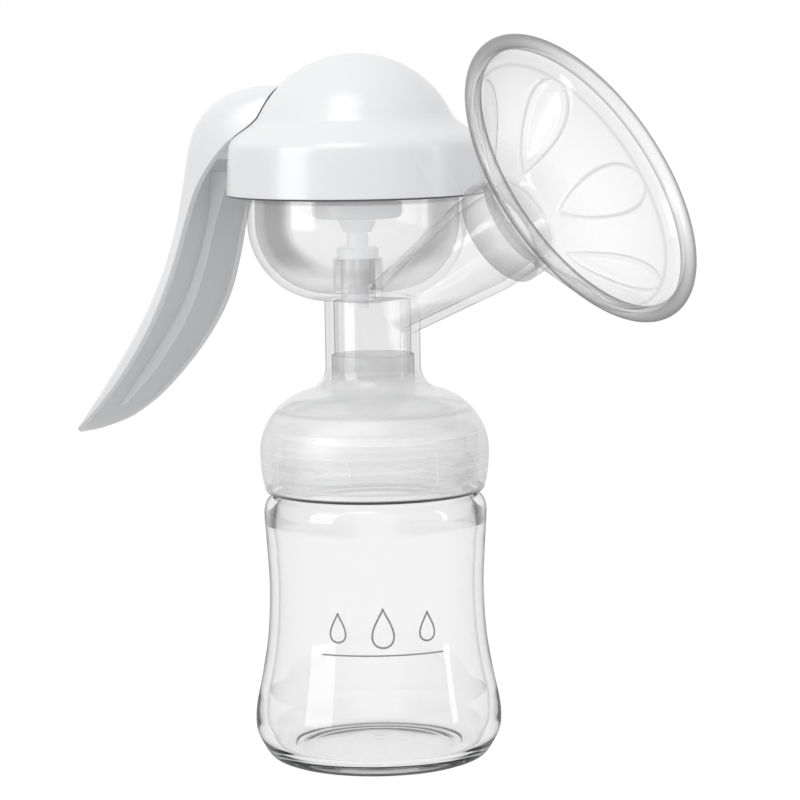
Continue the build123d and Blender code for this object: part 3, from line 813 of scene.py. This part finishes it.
def channel_ring(back_x, back_z, edge_x, edge_z, half, wall):
    """One station of the channel: outer points from edge to edge, then inner points back again."""
    depth = hypot(back_x - edge_x, back_z - edge_z)
    inner_depth = max(depth - wall, 0.12) / depth
    outer, inner = [], []
    for k in range(ACROSS + 1):
        turn = pi * k / ACROSS
        width = cos(turn)
        reach = sin(turn)
        side = abs(width) ** 0.55 * (1 if width > 0 else -1)
        deep = max(reach, 0.0) ** 0.5
        outer.append((edge_x + (back_x - edge_x) * deep, half * side, edge_z + (back_z - edge_z) * deep))
        inner_side = abs(width) ** 0.8 * (1 if width > 0 else -1)
        share = max(reach, 0.0) ** 0.8 * inner_depth
        inner_x, inner_z = edge_x + (back_x - edge_x) * share, edge_z + (back_z - edge_z) * share
        inner.append((inner_x, (half - wall) * inner_side, inner_z))
    lean = ((edge_x - back_x) / depth * EDGE_LIP, (edge_z - back_z) / depth * EDGE_LIP)
    near = (edge_x + lean[0], half - wall / 2, edge_z + lean[1])
    far = (edge_x + lean[0], wall / 2 - half, edge_z + lean[1])
    return outer + [far] + inner[::-1] + [near]


def make_handle():
    stations = smooth_curve(HANDLE_STATIONS, 8)
    bm = bmesh.new()
    rings = []
    for station in stations:
        wall = min(HANDLE_WALL, station[4] * 0.4)
        rings.append([bm.verts.new((x * MM, y * MM, z * MM)) for x, y, z in channel_ring(*station, wall)])
    count = len(rings[0])
    outer_count = ACROSS + 1
    for low, high in zip(rings, rings[1:]):
        for k in range(count):
            n = (k + 1) % count
            face = bm.faces.new((low[k], low[n], high[n], high[k]))
            # the channel's inner faces take the painted shade material
            face.material_index = int(outer_count < k < count - 2)
    for ring in (rings[0], rings[-1]):
        for k in range(ACROSS):
            bm.faces.new((ring[k], ring[k + 1], ring[count - 3 - k], ring[count - 2 - k]))
        bm.faces.new((ring[ACROSS], ring[outer_count], ring[outer_count + 1]))
        bm.faces.new((ring[0], ring[count - 2], ring[count - 1]))
    body = new_object("handle_shell", bm, WHITE, 40)
    body.data.materials.append(CHANNEL_SHADED)
    grown = lathe([(0.0, CAP_BOTTOM - 6), (33.5, CAP_BOTTOM - 6)] + cap_outside(CAP_GAP))
    cut(body, solid("cap_space", move_to(grown, Matrix.Translation((HEAD_X, 0, 0)))), "DIFFERENCE")
    shade(body.data, 38)
    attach(body, "handle")
    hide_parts("handle")
    make_rib(stations)


def make_rib(stations):
    """The thin web along the middle of the channel, flush with its free edges."""
    bm = bmesh.new()
    rings = []
    for back_x, back_z, edge_x, edge_z, _ in stations:
        depth = hypot(back_x - edge_x, back_z - edge_z)
        if depth < RIB_DEPTH or back_z > RIB_TOP:
            continue
        foot = (depth - HANDLE_WALL + 0.5) / depth
        foot_x, foot_z = edge_x + (back_x - edge_x) * foot, edge_z + (back_z - edge_z) * foot
        crest_x, crest_z = edge_x + (back_x - edge_x) * 0.06, edge_z + (back_z - edge_z) * 0.06
        corners = [
            (foot_x, -RIB_FOOT_HALF, foot_z), (crest_x, -RIB_CREST_HALF, crest_z), (edge_x, 0, edge_z),
            (crest_x, RIB_CREST_HALF, crest_z), (foot_x, RIB_FOOT_HALF, foot_z),
        ]
        rings.append([bm.verts.new(tuple(value * MM for value in corner)) for corner in corners])
    skin(bm, rings)
    rib = new_object("handle_rib", bm, WHITE, 50)
    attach(rib, "handle")


def make_diaphragm():
    """One thin surface: lift depends on height alone, so two faces would turn inside out as they rise."""
    curve = smooth_curve([
        (24.6, 148.0), (22.6, 147.6), (20.1, 146.15), (17.1, 144.75), (14.1, 143.95), (11.4, 143.2),
    ])
    profile = [(29.6, 148.0)] + curve + [(2.7, 143.2)]
    bm = move_to(lathe(profile, 128, closed=False), Matrix.Translation((HEAD_X, 0, 0)))
    sheet = new_object("diaphragm_sheet", bm, MILKY, 40)
    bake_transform(sheet)
    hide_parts("diaphragm")


# ---------------------------------------------------------------- stage, light, camera
CAMERA_AZIMUTH = 34.6
CAMERA_DISTANCE = 0.900
CAMERA_HEIGHT = 0.194
TARGET_HEIGHT = 0.0923
TARGET_ASIDE = 0.0067
CAMERA_ROLL = 0.9
CAMERA_LENS = 159.85
AIM_HEIGHT = 0.11
# brightness of the room from the left of the camera's view (0) to its right (1)
ROOM_STOPS = [(0.0, 0.70), (0.2, 1.0), (0.5, 0.95), (0.8, 0.80), (1.0, 0.60)]
# brightness seen through clear glass, from straight ahead (0) to sideways (1)
THROUGH_STOPS = [(0.0, 0.92), (0.30, 0.90), (0.48, 0.40), (0.72, 0.06)]
FLOOR_GLOW = 0.88
FLOOR_BOUNCE = 0.62
TO_CAMERA = Vector((sin(radians(CAMERA_AZIMUTH)), -cos(radians(CAMERA_AZIMUTH)), 0))
CAMERA_SIDE = Vector((cos(radians(CAMERA_AZIMUTH)), sin(radians(CAMERA_AZIMUTH)), 0))


def make_stage():
    """A wide pale floor that stays white and takes only a soft contact shadow."""
    bm = bmesh.new()
    bmesh.ops.create_grid(bm, x_segments=8, y_segments=8, size=6.0)
    s = new_shader("studio_floor")
    cloud = s.noise(3.0, 2.0)
    lit = s.node("ShaderNodeBsdfDiffuse", {"Color": s.ramp(cloud, [(0.3, 0.155), (0.7, 0.165)])}).outputs[0]
    glow = s.node("ShaderNodeEmission", {"Color": (1, 1, 1, 1), "Strength": FLOOR_GLOW}).outputs[0]
    seen = s.node("ShaderNodeAddShader", {0: lit, 1: glow}).outputs[0]
    dim = s.node("ShaderNodeBsdfDiffuse", {"Color": (FLOOR_BOUNCE, FLOOR_BOUNCE, FLOOR_BOUNCE, 1)}).outputs[0]
    path = s.node("ShaderNodeLightPath")
    looking = s.math("MAXIMUM", path.outputs["Is Camera Ray"], path.outputs["Is Transmission Ray"])
    both = s.mix(looking, dim, seen)
    floor = new_object("studio_floor", bm, s.finish(both))


def soft_box(name, angle_side, elevation, distance, size, radiance, diffuse=True, shine=True):
    """Area light aimed at the object; angle_side is measured from the camera, left negative."""
    turn, rise = radians(angle_side), radians(elevation)
    level = TO_CAMERA * cos(turn) + CAMERA_SIDE * sin(turn)
    centre = Vector((0, 0, AIM_HEIGHT))
    place = centre + (level * cos(rise) + Vector((0, 0, sin(rise)))) * distance
    data = bpy.data.lights.new(name, "AREA")
    data.shape = "RECTANGLE"
    data.size, data.size_y = size
    data.energy = radiance * pi * size[0] * size[1]
    lamp = bpy.data.objects.new(name, data)
    lamp.location = place
    lamp.rotation_mode = "QUATERNION"
    lamp.rotation_quaternion = (centre - place).to_track_quat("-Z", "Y")
    lamp.visible_camera = False
    lamp.visible_diffuse = diffuse
    lamp.visible_glossy = shine
    lamp.visible_transmission = False
    scene.collection.objects.link(lamp)


def make_world():
    """White room, a little brighter at the left; clear glass sees dark flags at the sides of the view."""
    world = bpy.data.worlds.new("studio")
    scene.world = world
    s = Shader(world)
    where = s.node("ShaderNodeTexCoord").outputs["Generated"]
    aside = s.node("ShaderNodeVectorMath", {0: where, 1: CAMERA_SIDE}, operation="DOT_PRODUCT")
    side = aside.outputs["Value"]
    across = s.spread(side, -1.0, 1.0)
    away = s.math("ABSOLUTE", side)
    path = s.node("ShaderNodeLightPath").outputs
    room = s.node("ShaderNodeBackground", {"Color": s.ramp(across, ROOM_STOPS)}).outputs[0]
    through = s.node("ShaderNodeBackground", {"Color": s.ramp(away, THROUGH_STOPS)}).outputs[0]
    seen = s.node("ShaderNodeBackground", {"Color": (1, 1, 1, 1)}).outputs[0]
    mixed = s.mix(path["Is Transmission Ray"], room, through)
    mixed = s.mix(path["Is Camera Ray"], mixed, seen)
    s.node("ShaderNodeOutputWorld", {"Surface": mixed})


def make_light():
    make_world()
    soft_box("key", -55, 32, 1.0, (0.5, 0.5), 2.0)
    soft_box("right_fill", 30, 14, 1.2, (0.6, 0.6), 1.3, shine=False)
    soft_box("left_strip_shine", -58, 4, 1.0, (0.5, 1.1), 3.3, diffuse=False)
    soft_box("top_shine", -22, 62, 0.9, (0.42, 0.42), 3.0, diffuse=False)
    soft_box("right_strip_shine", 75, 10, 1.0, (0.12, 0.9), 4.0, diffuse=False)


def make_camera():
    place = TO_CAMERA * CAMERA_DISTANCE + Vector((0, 0, CAMERA_HEIGHT))
    target = CAMERA_SIDE * TARGET_ASIDE + Vector((0, 0, TARGET_HEIGHT))
    ahead = (target - place).normalized()
    right = ahead.cross(Vector((0, 0, 1))).normalized()
    up = right.cross(ahead)
    roll = radians(CAMERA_ROLL)
    rolled_right = right * cos(roll) - up * sin(roll)
    rolled_up = right * sin(roll) + up * cos(roll)
    data = bpy.data.cameras.new("camera")
    data.lens = CAMERA_LENS
    data.sensor_width = 36.0
    camera = bpy.data.objects.new("camera", data)
    basis = Matrix((rolled_right, rolled_up, -ahead)).transposed().to_4x4()
    camera.matrix_world = Matrix.Translation(place) @ basis
    scene.collection.objects.link(camera)
    scene.camera = camera


paint_nodes()
make_bottle()
make_print()
make_cushion()
make_cap()
make_handle()
make_diaphragm()
make_stage()
make_light()
make_camera()
